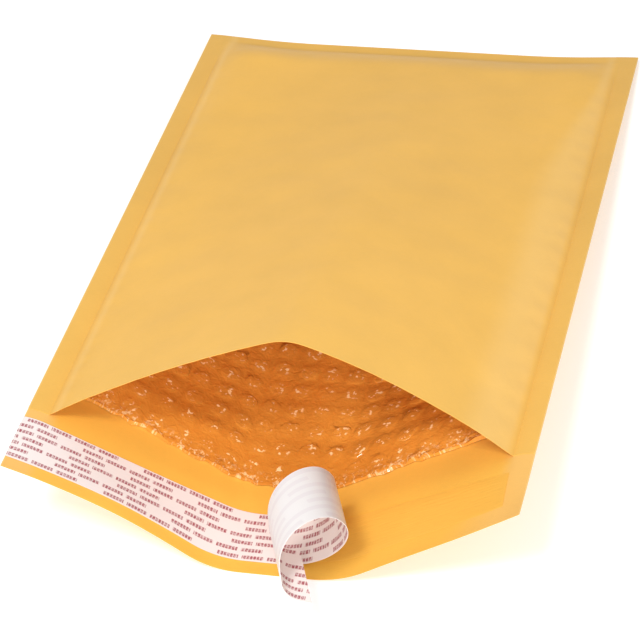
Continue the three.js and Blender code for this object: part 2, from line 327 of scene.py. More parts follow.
def film_finish(film):
    """Glossy polyethylene over kraft. The crowns are painted a little lighter than the hollows; pale,
    faintly glowing marks on each crown and along the ragged rim are painted highlights, laid in a tone of
    creased film.
    """
    finish = Finish(
        "bubble_film", Specular_IOR_Level=0.8, Coat_Weight=1.0, Coat_Roughness=0.05, Coat_IOR=1.6,
        Emission_Strength=0.34,
    )
    across, along, crown = finish.parts(finish.place())
    flat = finish.joined(across, along)
    crumple = finish.noise(flat, 0.30, 2.0, 0.50, 0.8)
    fine = finish.noise(flat, 0.75, 2.0, 0.5, 0.8)
    patches = finish.noise(flat, 0.035, 2.0, 0.5)
    rim = FILM_EDGE - FILM_BOW * abs(across).ramp(*EDGE_BOW)
    near_rim = (along - rim).ramp(-7, -0.5)
    # Painted light and shade: the crowns lighter than the hollows.
    tone = finish.blend(film.valley_and_painted_shade, film.crest_and_painted_light, crown.ramp(0.05, 0.95) * (0.55 + 0.45 * crumple))
    tone = finish.shade(tone, 1 + (patches - 0.5) * 0.25 + (fine - 0.5) * 0.30)
    in_middle = 0.80 - 0.5 * abs(across).ramp(30, 85)
    tone = finish.blend(tone, film.rim, (along - rim).ramp(-60, -5) * in_middle)
    # Painted highlights: pale marks on the crowns.
    pucker_and_glint = crown.ramp(0.68, 0.97) * finish.noise(flat, 0.46, 2.0, 0.5, 0.2).ramp(0.565, 0.65)
    # Painted highlights along the film's ragged rim.
    frayed_and_glint = near_rim * finish.noise(flat, 0.45, 3.0, 0.6, 1.0).ramp(0.52, 0.64)
    tone = finish.blend(tone, film.whitened_and_highlight, pucker_and_glint * 0.6)
    tone = finish.blend(tone, film.whitened_and_highlight, frayed_and_glint * 0.6)
    finish.bump(crumple * (0.6 + 0.5 * near_rim) + fine * 0.10, 0.0009, 0.9)
    # Painted highlights: the pale marks glow faintly.
    glints = finish.shade(film.glint, pucker_and_glint * 0.8 + frayed_and_glint * 0.35)
    return finish.paint(Base_Color=tone, Roughness=0.12 + fine * 0.08, Emission_Color=glints)


def adhesive_finish(liner):
    """Clear hot-melt adhesive: the paper shows through it, wetter and darker."""
    finish = Finish("adhesive", Specular_IOR_Level=0.5, Coat_Roughness=0.22)
    across, along, _ = finish.parts(finish.place())
    flat = finish.joined(across, along)
    streaks = finish.noise(finish.stretched(flat, (0.12, 1.0, 1.0)), 1.0, 4.0, 0.6)
    patches = finish.noise(flat, 0.06, 2.0, 0.5)
    tone = finish.shade(liner.glue, 1 + (streaks - 0.5) * 0.10 + (patches - 0.5) * 0.10)
    finish.bump(streaks, 0.0003, 0.4)
    return finish.paint(
        Base_Color=tone, Roughness=0.42 + (streaks - 0.5) * 0.2, Coat_Weight=0.25 + 0.3 * patches
    )


def liner_finish(liner):
    """Siliconised paper: rows of plain dashes on one face, which show through the white coated back."""
    finish = Finish("liner_paper", Specular_IOR_Level=0.42, Coat_Roughness=0.3)
    run, down, face = finish.parts(finish.place())
    row_at = (down + 0.35) / (liner.print_pitch / MM)
    row = row_at.floor()
    filled = liner.print_height / liner.print_pitch / 2
    in_row = 1 - abs(row_at.fraction() - 0.5).ramp(filled - 0.06, filled + 0.05)
    phrase_pitch, word_pitch, tick_pitch, row_shift = 49, 9.9, 1.3, 24.9
    shifted = run + row * row_shift + (row * 0.5).floor() * 3.1 + 400
    phrase = (shifted / phrase_pitch).fraction() * phrase_pitch
    in_phrase = (1 - phrase.ramp(38.6, 39.1)) * phrase.ramp(0.0, 0.3)
    word = (phrase / word_pitch).fraction() * word_pitch
    in_word = 1 - word.ramp(8.3, 8.6)
    tick = abs((phrase / tick_pitch).fraction() - 0.5)
    ticks = 1 - 0.75 * tick.ramp(0.30, 0.44)
    broken = finish.noise(finish.joined(run, down), 0.95, 2.0, 0.6).ramp(0.36, 0.60)
    inked = in_row * in_phrase * in_word * ticks * (0.48 + 0.46 * broken)
    cloud = finish.noise(finish.joined(run, down), 0.08, 2.0, 0.5)
    back = finish.blend(liner.back, (0.58, 0.50, 0.53), in_row * in_phrase * 0.28)
    printed = finish.blend(liner.face, liner.ink, inked)
    both = finish.blend(back, printed, face)
    fibre = finish.noise(finish.joined(run, down), 2.4, 4.0, 0.6)
    finish.bump(fibre, 0.00008, 0.5)
    return finish.paint(
        Base_Color=finish.shade(both, 1 + (cloud - 0.5) * 0.05),
        Roughness=0.52 - 0.16 * (1 - face) + (fibre - 0.5) * 0.1,
        Coat_Weight=0.2 * (1 - face),
    )


def plain_finish(name, tone, roughness, glow):
    """Painted floor: nearly even, with the faintest mottle."""
    finish = Finish(name, Specular_IOR_Level=0.2, Emission_Strength=glow)
    place = finish.add("ShaderNodeTexCoord", {}, {}, output="Object")
    mottle = finish.noise(place, 3.0, 2.0, 0.5)
    return finish.paint(Base_Color=finish.shade(tone, 1 + (mottle - 0.5) * 0.01), Roughness=roughness)


# ---- Form of the folded paper ----
# In millimetres: x across, y along, which is 0 at the closed end and negative towards the mouth.

FLAT_STRIP = {"closed": 52, "mouth": 7, "edge": (9, 17)}  # half width that lies flat; edge: left, right
BEND = {"closed": 34, "mouth": 15, "edge": (22, 22)}  # arc on either side of the flat strip
CORNER_RISE, FLAP_RISE = 2.5, 41.6
BACK_SLOPE, SEAM_DROOP, LEFT_FLAP_DROOP = 31, -25, -16
RIDGE, RIDGE_SHARE, FRONT_FULLNESS = 14, 0.524, 0.3
FRONT_START, FRONT_TURNS = 33, (-13.8, -33.5, -19.5)
SIDE_RAMP, END_RAMP, PAD_GAP, MOUTH_EASE = 12, 28, 9.4, 0.75
CLEAR, GLUE = 0.3, 0.12
FILM_EDGE = 321.3  # where the film ends, along the middle of the back panel
EDGE_BOW = 8, 88  # the film's edge bows back between these distances from the middle
FILM_BOW = 7  # how far it bows
WELD = 1.2  # width of the weld round the film
FILM_INSET, FILM_START = 0.96, 0.1  # gap beside the film; where it starts, as a share of END_RAMP
FILM_SHARE = 0.42  # the most of the gap between the panels that one panel of film takes
BUBBLE_RINGS = (1.0, 0.0), (0.92, 0.32), (0.76, 0.72), (0.48, 0.95)  # share of its radius, and lift
BUBBLE_MARKS = 10.9, 12.1  # spacing of the bubbles' marks in the front panel
GATHER_PITCH = 15
SEAM_STATIONS = 0.12, 0.4, 0.7, 0.93, 1  # shares of a side seam's width
END_STATIONS = 0, 0.5, 2.5, 4.7
FLAP_ROWS = 16
GLUE_FROM_MOUTH, GLUE_FROM_EDGE = 9.2, 9
PEEL_X, CURL_SKEW = 0.8, 21
CURL_LINKS = ((55, 128), (22.7, 104), (9.7, 38), (5, 0), (9.6, 84), (4, 0))  # length, and turn in degrees


def mix(a, b, t):
    """From a, where t is 0, to b, where it is 1."""
    return a + (b - a) * t


def smoothstep(value, low, high):
    """0 below low, 1 above high, and smooth between them."""
    t = np.clip((value - low) / (high - low), 0, 1)
    return t * t * (3 - 2 * t)


def along_chain(links, distance, heading=0.0):
    """Runs along a chain of arcs from the origin. A link is (length, turn), its turn in radians."""
    x = z = np.zeros(np.broadcast(distance, *(part for link in links for part in link)).shape)
    left, heading = distance, heading + x
    for reach, turn in links:
        run = np.clip(left, 0, reach)
        half = turn * run / reach / 2
        chord = run * np.sinc(half / np.pi)
        x = x + chord * np.cos(heading + half)
        z = z + chord * np.sin(heading + half)
        heading = heading + 2 * half
        left = left - run
    return x, z


def solve(rising, target, low, high, like):
    """Where a rising function of each entry reaches its target."""
    low, high = np.full_like(like, low, float), np.full_like(like, high, float)
    for _ in range(40):
        middle = (low + high) / 2
        under = rising(middle) < target
        low, high = np.where(under, middle, low), np.where(under, high, middle)
    return (low + high) / 2


def waves(x, y, seed, size, count=7):
    """Smooth seeded noise, about -1 to 1, whose bumps have the given size."""
    chance = np.random.default_rng(seed)
    total = np.zeros(np.broadcast(x, y).shape)
    for _ in range(count):
        angle, phase = chance.uniform(0, 2 * np.pi, 2)
        rate = 2 * np.pi / (size * chance.uniform(0.7, 1.6))
        total += np.sin((x * np.cos(angle) + y * np.sin(angle)) * rate + phase)
    return total / math.sqrt(count * 2)


class FoldedPaper:
    """The envelope's paper surfaces, sampled on stations across and along it."""

    def __init__(self, paper):
        self.width = paper.width / MM
        self.length = paper.sheet_length / MM
        self.pocket = self.length - paper.flap / MM
        self.side_seam, self.end_seam = paper.side_seam / MM, paper.end_seam / MM
        self.inner = self.width - 2 * self.side_seam
        self.sheet = paper.thickness / MM
        self.shift = KRAFT_BOX[0].y / MM + self.length
        step = paper.grid / MM
        half, seam, inner = self.width / 2, self.side_seam, self.inner / 2
        ramp = np.linspace(inner - SIDE_RAMP, inner, 11)
        middle = np.linspace(0, inner - SIDE_RAMP, round((inner - SIDE_RAMP) / step) + 1)[:-1]
        right = np.concatenate([middle, ramp, inner + seam * np.array(SEAM_STATIONS)])
        self.across = np.concatenate([-right[:0:-1], right])
        # Columns on the side seams' inner edges.
        self.first, self.last = len(SEAM_STATIONS), len(self.across) - len(SEAM_STATIONS) - 1
        ends = [*END_STATIONS, self.end_seam]
        pad = np.linspace(self.end_seam, self.end_seam + END_RAMP, 16)[1:]
        body = np.linspace(pad[-1], self.pocket, round((self.pocket - pad[-1]) / step) + 1)[1:]
        flap = np.linspace(self.pocket, self.length, FLAP_ROWS + 1)[1:]
        self.down = np.concatenate([ends, pad, body, flap])
        # Rows of the end seam's inner edge and of the mouth.
        self.start, self.mouth = len(END_STATIONS), len(self.down) - FLAP_ROWS - 1
        self.build(paper)

    def back_half(self, along, left):
        """Arcs of the back panel's section from its middle to one side edge, bent to reach its height."""
        opened = np.minimum(along / self.pocket, 1)
        on_flap = smoothstep(along, self.pocket, self.length)
        side = 0 if left else 1
        flat, bend = (
            mix(mix(part["closed"], part["mouth"], opened), part["edge"][side], on_flap)
            for part in (FLAT_STRIP, BEND)
        )
        leg = self.width / 2 - self.side_seam - flat - bend
        leg_turn = LEFT_FLAP_DROOP * on_flap if left else 0 * on_flap
        turns = np.radians([0 * flat, BACK_SLOPE + 0 * flat, leg_turn, SEAM_DROOP * (1 - on_flap)])
        reaches = (flat, bend, leg, self.side_seam + 0 * flat)

        def links(scale):
            return [(reach, turn * scale) for reach, turn in zip(reaches, turns)]

        height = mix(CORNER_RISE, FLAP_RISE, along / self.length)
        scale = solve(lambda s: along_chain(links(s), self.width / 2)[1], height, 0, 1.6, along)
        return links(scale)

    def back_section(self, along, u):
        """x and z of the back panel's outer face at points given by arrays of one shape."""
        x, z = np.zeros_like(u), np.zeros_like(u)
        for left in (True, False):
            here = u < 0 if left else u >= 0
            links = self.back_half(along[here], left)
            px, pz = along_chain(links, np.abs(u[here]))
            reach = along_chain(links, self.width / 2)[0]
            ends = [
                along_chain(self.back_half(np.array([end]), left), self.width / 2)[0][0]
                for end in (0.0, self.length)
            ]
            straight = mix(ends[0], ends[1], along[here] / self.length)
            x[here] = (-1 if left else 1) * px * straight / reach
            z[here] = pz
        return x, z

    def back_points(self, along, u):
        """Points of the back panel's outer face, each as far along the paper as it should be."""
        x, z = self.back_section(along, u)
        x0, z0 = self.back_section(np.zeros_like(along), u)
        y = -np.sqrt(np.maximum(along**2 - (z - z0) ** 2 - (x - x0) ** 2, 0))
        return np.stack([x, y, z], -1)

    def front_mouth(self, chord, part):
        """x and z across the front panel at the mouth, at shares of the way from seam to seam."""
        width = self.inner + FRONT_FULLNESS
        left = (width - RIDGE) * RIDGE_SHARE
        reaches = (left, RIDGE, width - RIDGE - left)

        def links(scale):
            turns = [np.radians(turn) * scale for turn in FRONT_TURNS]
            return [(reach + 0 * scale, turn) for reach, turn in zip(reaches, turns)]

        def end(scale):
            return along_chain(links(scale), width, np.radians(FRONT_START) * scale)

        scale = solve(lambda s: -np.hypot(*end(s)), -chord, 0, 1.6, np.array([chord]))
        tilt = np.arctan2(end(scale)[1], end(scale)[0])
        return along_chain(links(scale), part * width, np.radians(FRONT_START) * scale - tilt)

    @staticmethod
    def normals(grid):
        """Unit normals over a grid of points."""
        to_right, to_mouth = np.gradient(grid, axis=1), np.gradient(grid, axis=0)
        n = np.cross(to_mouth, to_right)
        return n / np.linalg.norm(n, axis=-1, keepdims=True)

    def padding(self, u, along):
        """Gap that the film's padding holds between the panels."""
        from_side = np.clip((self.inner / 2 - np.abs(u)) / (2.2 * SIDE_RAMP), 0, 1)
        from_end = np.clip((along - self.end_seam) / END_RAMP, 0, 1)
        ease = 1 - MOUTH_EASE * np.minimum(along / self.pocket, 1) ** 2
        return PAD_GAP * ease * (1 - (1 - from_side) ** 2.4) * np.sin(from_end * np.pi / 2)

    def relief(self, paper, u, along):
        """Height of the front panel's waves, gathers and bubble marks above its plain form."""
        from_side = self.inner / 2 - np.abs(u)
        inside = np.clip(from_side / 10, 0, 1) * np.clip((along - self.end_seam) / 16, 0, 1)
        cockle = waves(u, along * 0.55, 11, 62) + 0.5 * waves(u * 0.8, along, 12, 27)
        turn = along * 2 * np.pi / GATHER_PITCH + 2.2 * waves(u * 0, along, 21, 70)
        gathers = np.sin(turn + np.abs(u) * 0.1)
        gathers = gathers * np.exp(-np.abs(from_side - 5) / 6.5)
        marks = np.cos(2 * np.pi * u / BUBBLE_MARKS[0]) * np.cos(2 * np.pi * along / BUBBLE_MARKS[1])
        marks = np.maximum(marks, -0.25) * (0.6 + 0.4 * waves(u, along, 31, 45))
        total = paper.cockle / MM * cockle * inside
        held = np.clip(from_side / 3, 0, 1) * np.clip((along - 20) / 20, 0, 1)
        total = total + paper.pucker_and_glint / MM * gathers * held
        return total + paper.telegraph / MM * marks * inside

    def build(self, paper):
        """Fills in the layers: the back panel's two faces, and the front panel's two faces over it."""
        along, u = np.meshgrid(self.down, self.across, indexing="ij")
        self.back_out = self.back_points(along, u)
        self.back_normal = self.normals(self.back_out)
        soft = waves(u * 0.7, along, 41, 48) * 0.40 * smoothstep(along, self.pocket + 2, self.length - 4)
        soft = soft * smoothstep(np.abs(u), 30, 60)
        self.back_out = self.back_out + self.back_normal * soft[..., None]
        self.back_in = self.back_out + self.back_normal * self.sheet
        self.back_in_normal = self.normals(self.back_in)
        seam = np.zeros(u.shape, bool)
        seam[:, : self.first + 1] = seam[:, self.last :] = True
        seam[: self.start + 1] = True
        seam[self.mouth + 1 :] = True
        self.seam = seam
        left, right = self.back_in[self.mouth, self.first], self.back_in[self.mouth, self.last]
        across, rise = self.front_mouth(right[0] - left[0], self.across / self.inner + 0.5)
        start = self.back_in[self.start]
        height = left[2] + rise
        reach = -np.sqrt(self.pocket**2 - (height - start[:, 2]) ** 2)
        end = np.stack([left[0] + across, reach, height], -1)
        part = (along - self.end_seam) / (self.pocket - self.end_seam)
        front = mix(start[None], end[None], part[..., None])
        floor = self.back_in
        gap = np.hypot(np.maximum(front[..., 2] - floor[..., 2], 0), self.padding(u, along))
        front[..., 2] = floor[..., 2] + gap
        front = np.where(seam[..., None], floor, front)
        rows = slice(0, self.mouth + 1)
        normal = floor * 0
        normal[rows] = self.normals(front[rows])
        front = front + normal * (self.relief(paper, u, along) * ~seam)[..., None]
        normal[rows] = self.normals(front[rows])
        self.front_in, self.front_normal = front, normal
        self.front_out = front + normal * self.sheet

    def sample(self, grid, u, along):
        """A layer's value at any points, from the four stations round each."""
        c = np.clip(np.searchsorted(self.across, u, "right") - 1, 0, len(self.across) - 2)
        r = np.clip(np.searchsorted(self.down, along, "right") - 1, 0, len(self.down) - 2)
        fc = ((u - self.across[c]) / (self.across[c + 1] - self.across[c]))[..., None]
        fr = ((along - self.down[r]) / (self.down[r + 1] - self.down[r]))[..., None]
        near, far = mix(grid[r, c], grid[r, c + 1], fc), mix(grid[r + 1, c], grid[r + 1, c + 1], fc)
        return mix(near, far, fr)


# ---- Meshes ----


class Skin:
    """Points with a flat place each, and the faces between them, gathered into one mesh."""

    def __init__(self):
        self.points, self.places, self.faces, self.count = [], [], [], 0

    def layer(self, points, across, along, face):
        """Adds a grid of points and gives the grid of their numbers."""
        shape = points.shape[:-1]
        self.points.append(points.reshape(-1, 3))
        parts = [np.broadcast_to(part, shape).ravel() for part in (across, along, face)]
        self.places.append(np.stack(parts, -1))
        numbers = np.arange(self.count, self.count + self.points[-1].shape[0]).reshape(shape)
        self.count += numbers.size
        return numbers

    def quads(self, a, b, c, d):
        self.faces += np.stack([a.ravel(), b.ravel(), c.ravel(), d.ravel()], -1).tolist()

    def surface(self, numbers, faces_up=True):
        """Faces over a grid whose rows run towards the mouth and whose columns run to the right."""
        a, b = numbers[:-1, :-1], numbers[1:, :-1]
        c, d = numbers[1:, 1:], numbers[:-1, 1:]
        self.quads(*((a, b, c, d) if faces_up else (a, d, c, b)))

    def wall(self, lower, upper):
        """Faces between two runs of points, seen from the right of the way they run."""
        self.quads(lower[:-1], lower[1:], upper[1:], upper[:-1])

    def split(self, shared):
        """Halves the quads that share three points, so that no half of one lies on half of another."""
        for face in [face for face in self.faces if shared <= set(face)]:
            free = next(i for i, point in enumerate(face) if point not in shared)
            a, b, c, d = face[free:] + face[:free]
            self.faces.remove(face)
            self.faces += [[a, b, c], [a, c, d]]

    def mesh(self, name, shift, smooth_below=38):
        """The object in metres, in the row's frame, shaded smooth but for its real edges."""
        points, places = np.concatenate(self.points), np.concatenate(self.places)
        points = (points + [0, shift, 0]) * MM
        faces = []
        for face in self.faces:
            kept = [p for i, p in enumerate(face) if p != face[i - 1]]
            if len(kept) > 2:
                faces.append(kept)
        used = np.zeros(len(points), bool)
        used[[p for face in faces for p in face]] = True
        renumber = np.cumsum(used) - 1
        mesh = bpy.data.meshes.new(name)
        mesh.from_pydata(points[used].tolist(), [], [[int(renumber[p]) for p in face] for face in faces])
        attribute = mesh.attributes.new("sheet_place", "FLOAT_VECTOR", "POINT")
        attribute.data.foreach_set("vector", places[used].astype(np.float32).ravel())
        mesh.validate()
        mesh.shade_smooth()
        mesh.set_sharp_from_angle(angle=math.radians(smooth_below))
        piece = bpy.data.objects.new(name, mesh)
        bpy.context.scene.collection.objects.link(piece)
        return piece


def outline(numbers):
    """Round a grid of point numbers, anticlockwise from above."""
    left, right = numbers[:, 0], numbers[::-1, -1]
    return np.concatenate([left, numbers[-1, 1:], right[1:], numbers[0, ::-1][1:]])


def finished(piece, node, material):
    """Dresses a piece, and puts it in the place of its CAD node."""
    piece.data.materials.append(material)
    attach(piece, "root")
    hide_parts(node)


FORMS = {}


def folded_paper():
    """The paper's form, worked out once for all the pieces that lie on it."""
    if "paper" not in FORMS:
        FORMS["paper"] = FoldedPaper(bpy.context.scene.mailer_paper)
    return FORMS["paper"]


def envelope_mesh(form):
    """One closed skin: back panel with its flap, front panel, and the pocket between them."""
    skin = Skin()
    u, along = form.across[None, :], form.down[:, None]
    under = skin.layer(form.back_out, u, along, 0.0)
    floor = skin.layer(form.back_in, u, along, 1.0)
    ceiling = skin.layer(form.front_in, u, along, 1.0)
    top = skin.layer(form.front_out, u, along, 0.0)
    ceiling = np.where(form.seam, floor, ceiling)
    inside = slice(form.first, form.last + 1)
    pocket = slice(0, form.mouth + 1)
    skin.surface(under, False)
    skin.surface(top[pocket])
    skin.surface(floor[form.start : form.mouth + 1, inside])
    skin.surface(floor[form.mouth :])
    skin.surface(ceiling[form.start : form.mouth + 1, inside], False)
    skin.wall(outline(under), outline(floor))
    skin.wall(outline(ceiling[pocket]), outline(top[pocket]))
    start, last = form.start, form.last
    skin.split({int(floor[start, last - 1]), int(floor[start, last]), int(floor[start + 1, last])})
    return skin.mesh("kraft_mailer", form.shift)


def film_panel(skin, form, film, ceiling_side, columns, rows, rim):
    """One panel of bubble film. It gives the point numbers of its inner lattice and of its flat side."""
    chance = np.random.default_rng(5 if ceiling_side else 4)
    paper = form.front_in if ceiling_side else form.back_in
    normal = -form.front_normal if ceiling_side else form.back_in_normal
    half, start = rim["half"], rim["start"]
    wall = film.wall / MM
    recess = film.recess_middle / MM, film.recess_side / MM

    def edge_at(u):
        bow = smoothstep(np.abs(u), *EDGE_BOW)
        jag = 0.9 * waves(u, u * 0, 61 + ceiling_side, 9) + 0.6 * waves(u, u * 0, 63, 4)
        return form.pocket - mix(recess[0], recess[1], bow) + jag

    def spread(p, q, inset):
        """Flat position at shares across and along the film."""
        u = (2 * p - 1) * (half - inset)
        return u, mix(start + inset, edge_at(u), q)

    def height_at(u, along, full):
        """Height over the paper, held to its share of the gap between the panels."""
        gap = form.sample(form.front_in, u, along)[..., 2] - form.sample(form.back_in, u, along)[..., 2]
        room = np.clip(FILM_SHARE * (gap - 2 * CLEAR), 0.1, wall)
        torn = 1 - 0.8 * smoothstep(along, edge_at(u) - 18, edge_at(u) + 4)
        by_edge = smoothstep(along, edge_at(u) - 9, edge_at(u))
        crimp = np.abs(waves(u, along * 1.4, 71 + ceiling_side, 5)) * by_edge
        share_full = (film.lifted + full * (1 - film.lifted)) * torn
        return CLEAR + room * np.minimum(share_full + crimp * 0.225, 1)

    def placed(u, along, height):
        """Points this high over the paper."""
        return form.sample(paper, u, along) + form.sample(normal, u, along) * height[..., None]

    def middle(u, along):
        """Points halfway between the panels."""
        return (form.sample(form.front_in, u, along) + form.sample(form.back_in, u, along)) / 2

    side = 4  # points along each side of a bubble's cell
    p, q = np.meshgrid(np.linspace(0, 1, columns * side + 1), np.linspace(0, 1, rows * side + 1))
    u, along = spread(p, q, WELD)
    lattice = placed(u, along, height_at(u, along, 0.0 * u))
    weld = np.zeros(u.shape, bool)
    weld[:, 0] = weld[:, -1] = weld[0] = True
    if ceiling_side:
        numbers = np.where(weld, rim["weld"], skin.layer(lattice, u, along, 0.0))
    else:
        lattice = np.where(weld[..., None], middle(u, along), lattice)
        numbers = skin.layer(lattice, u, along, 0.0)
        rim["weld"] = numbers
    # A cell's sixteen edge points, clockwise from above, from its left corner at the closed end.
    steps = [(0, i) for i in range(side)] + [(i, side) for i in range(side)]
    steps += [(side, side - i) for i in range(side)] + [(side - i, 0) for i in range(side)]
    cell_r, cell_c = np.meshgrid(np.arange(rows), np.arange(columns), indexing="ij")
    edge = np.stack([numbers[cell_r * side + dr, cell_c * side + dc] for dr, dc in steps], -1)
    angles = np.array([math.atan2(dr - side / 2, dc - side / 2) for dr, dc in steps])
    cell_p, cell_q = (cell_c + 0.5) / columns, (cell_r + 0.5) / rows
    radius_p = film.bubble / MM / (2 * half)
    radius_q = film.bubble / MM / (form.pocket - recess[0] - start)
    fill = chance.uniform(0.45, 1.0, cell_p.shape) * (1 - 0.4 * (chance.uniform(0, 1, cell_p.shape) > 0.85))
    lean_p, lean_q = chance.normal(0, 0.8, (2, *cell_p.shape)) / 15
    lean_p, lean_q = lean_p / columns, lean_q / rows
    swell = chance.uniform(0.86, 1.03, cell_p.shape)[..., None]
    rings = [edge]
    for radius, lift in BUBBLE_RINGS:
        rp = (cell_p + lift * lean_p)[..., None] + swell * radius * radius_p * np.cos(angles)
        rq = (cell_q + lift * lean_q)[..., None] + swell * radius * radius_q * np.sin(angles)
        ru, ra = spread(rp, rq, WELD)
        dent = 1 - 0.20 * lift * (1 + waves(ru, ra, 81, 5.5)) - 0.05 * lift * waves(ru, ra, 82, 2.6)
        height = height_at(ru, ra, lift * fill[..., None] * dent)
        rings.append(skin.layer(placed(ru, ra, height), ru, ra, lift))
    cu, ca = spread(cell_p + lean_p, cell_q + lean_q, WELD)
    crown = skin.layer(placed(cu, ca, height_at(cu, ca, fill * 0.99)), cu, ca, 1.0)
    flip = not ceiling_side
    for lower, upper in zip(rings, rings[1:]):
        a, b = lower, np.roll(lower, -1, -1)
        c, d = np.roll(upper, -1, -1), upper
        skin.quads(*((a, d, c, b) if flip else (a, b, c, d)))
    a, b = rings[-1], np.roll(rings[-1], -1, -1)
    c = np.broadcast_to(crown[..., None], a.shape)
    skin.quads(*((a, c, c, b) if flip else (a, b, c, c)))
    # The flat side, against the paper.
    u, along = spread(p, q, 0.0)
    outer = skin.layer(placed(u, along, CLEAR + 0 * u), u, along, 0.0)
    skin.surface(outer, ceiling_side)
    skin.wall(*((numbers[-1], outer[-1]) if ceiling_side else (outer[-1], numbers[-1])))
    return numbers, outer


def lining_mesh(form, film):
    """The bubble film as one bag, welded along its sides and its closed end."""
    skin = Skin()
    rim = {"half": form.inner / 2 - FILM_INSET, "start": form.end_seam + FILM_START * END_RAMP}
    columns = round(2 * rim["half"] / (film.pitch_across / MM))
    rows = round((form.pocket - film.recess_middle / MM - rim["start"]) / (film.pitch_along / MM))
    inner, floor = film_panel(skin, form, film, False, columns, rows, rim)
    _, ceiling = film_panel(skin, form, film, True, columns, rows, rim)
    round_floor = np.concatenate([floor[0, ::-1], floor[1:, 0]])[::-1]
    round_ceiling = np.concatenate([ceiling[0, ::-1], ceiling[1:, 0]])[::-1]
    skin.wall(round_ceiling, round_floor)
    skin.wall(ceiling[:, -1], floor[:, -1])
    skin.faces.append([int(floor[-1, 0]), int(inner[-1, 0]), int(ceiling[-1, 0])])
    skin.faces.append([int(floor[-1, -1]), int(ceiling[-1, -1]), int(inner[-1, -1])])
    return skin.mesh("bubble_film_lining", form.shift, 60)


def slab(skin, lower, upper, across, along, faces=(0.0, 1.0)):
    """A thin closed sheet between two grids of points."""
    below = skin.layer(lower, across, along, faces[0])
    above = skin.layer(upper, across, along, faces[1])
    skin.surface(below, False)
    skin.surface(above)
    skin.wall(outline(below), outline(above))


def adhesive_mesh(form):
    """A band of adhesive a little narrower than its liner, with slightly uneven edges."""
    u = np.linspace(-form.inner / 2, form.inner / 2, 150)[None, :]
    t = np.linspace(0, 1, 12)[:, None]
    near = form.pocket + GLUE_FROM_MOUTH + 0.25 * waves(u, 0 * u, 91, 22)
    far = form.length - GLUE_FROM_EDGE + 0.25 * waves(u, 0 * u, 92, 25)
    along = mix(near, far, t)
    u = u + 0 * along
    base, normal = form.sample(form.back_in, u, along), form.sample(form.back_in_normal, u, along)
    crown = 0.02 + GLUE * np.sqrt(np.clip(1 - (2 * t - 1) ** 8, 0.1, 1)) + 0 * along
    skin = Skin()
    slab(skin, base + normal * 0.02, base + normal * crown[..., None], u, along)
    return skin.mesh("adhesive_band", form.shift)


def liner_mesh(form, liner):
    """The liner: flat over the adhesive from the left, then peeled and wound round a skewed curl."""
    width, thick = liner.width / MM, liner.thickness / MM
    edge = form.length - liner.inset / MM
    centre = edge - width / 2
    skew, lift = math.radians(CURL_SKEW), GLUE + 0.05
    w = np.linspace(width / 2, -width / 2, 15)[:, None]  # towards the mouth is positive
    along = centre - w
    t = np.linspace(0, 1, 90)[None, :]
    leave = PEEL_X - w * math.tan(skew)
    u = mix(-form.width / 2, leave, t)
    along = along + 0 * u
    base, normal = form.sample(form.back_in, u, along), form.sample(form.back_in_normal, u, along)
    flat = base + normal * lift
    goal = np.stack([leave[:, 0], -(centre - w[:, 0]), 0 * w[:, 0] + form.sheet + lift], -1)
    settle = smoothstep(t, 0.8, 1.0)[..., None]
    flat = flat + (goal - flat[:, -1])[:, None] * settle
    normal = mix(normal, np.array([0, 0, 1.0]), settle)
    arcs = [(reach, math.radians(turn)) for reach, turn in CURL_LINKS]
    total = sum(reach for reach, _ in arcs)
    run = np.linspace(0, total, 110)[1:]
    x, z = along_chain([(np.array(a), np.array(b)) for a, b in arcs], run)
    heading = np.interp(run, np.cumsum([0] + [a for a, _ in arcs]), np.cumsum([0] + [b for _, b in arcs]))
    forward = np.array([math.cos(skew), math.sin(skew), 0])
    axis = np.array([math.sin(skew), -math.cos(skew), 0])
    up = np.array([0, 0, 1.0])
    v = (run[None, :] * math.sin(skew) - w) / math.cos(skew)
    peel = np.array([PEEL_X, -centre, form.sheet + lift])
    wound = peel + x[None, :, None] * forward + v[..., None] * axis + z[None, :, None] * up
    facing = -np.sin(heading)[:, None] * forward + np.cos(heading)[:, None] * up
    facing = np.broadcast_to(facing[None], wound.shape)
    lower = np.concatenate([flat, wound], 1)
    outward = np.concatenate([normal, facing], 1)
    outward = outward / np.linalg.norm(outward, axis=-1, keepdims=True)
    travelled = np.concatenate([u, leave + run[None, :] / math.cos(skew)], 1)
    skin = Skin()
    slab(skin, lower, lower + outward * thick, travelled, width / 2 - w)
    return skin.mesh("release_liner_strip", form.shift, 30)


# ---- Operators ----


class MAILER_OT_paper(bpy.types.Operator):
    """Make the folded kraft paper with its seams and flap"""

    bl_idname = "mailer.paper"
    bl_label = "Kraft Paper"

    def execute(self, context):
        piece = envelope_mesh(folded_paper())
        finished(piece, "kraft_envelope", kraft_finish(context.scene.mailer_paper))
        return {"FINISHED"}


class MAILER_OT_film(bpy.types.Operator):
    """Make the bag of bubble film inside the paper"""

    bl_idname = "mailer.film"
    bl_label = "Bubble Lining"

    def execute(self, context):
        film = context.scene.mailer_film
        piece = lining_mesh(folded_paper(), film)
        finished(piece, "bubble_lining", film_finish(film))
        return {"FINISHED"}


class MAILER_OT_adhesive(bpy.types.Operator):
    """Make the band of adhesive on the flap"""

    bl_idname = "mailer.adhesive"
    bl_label = "Adhesive Band"

    def execute(self, context):
        finish = adhesive_finish(context.scene.mailer_liner)
        finished(adhesive_mesh(folded_paper()), "adhesive_strip", finish)
        return {"FINISHED"}


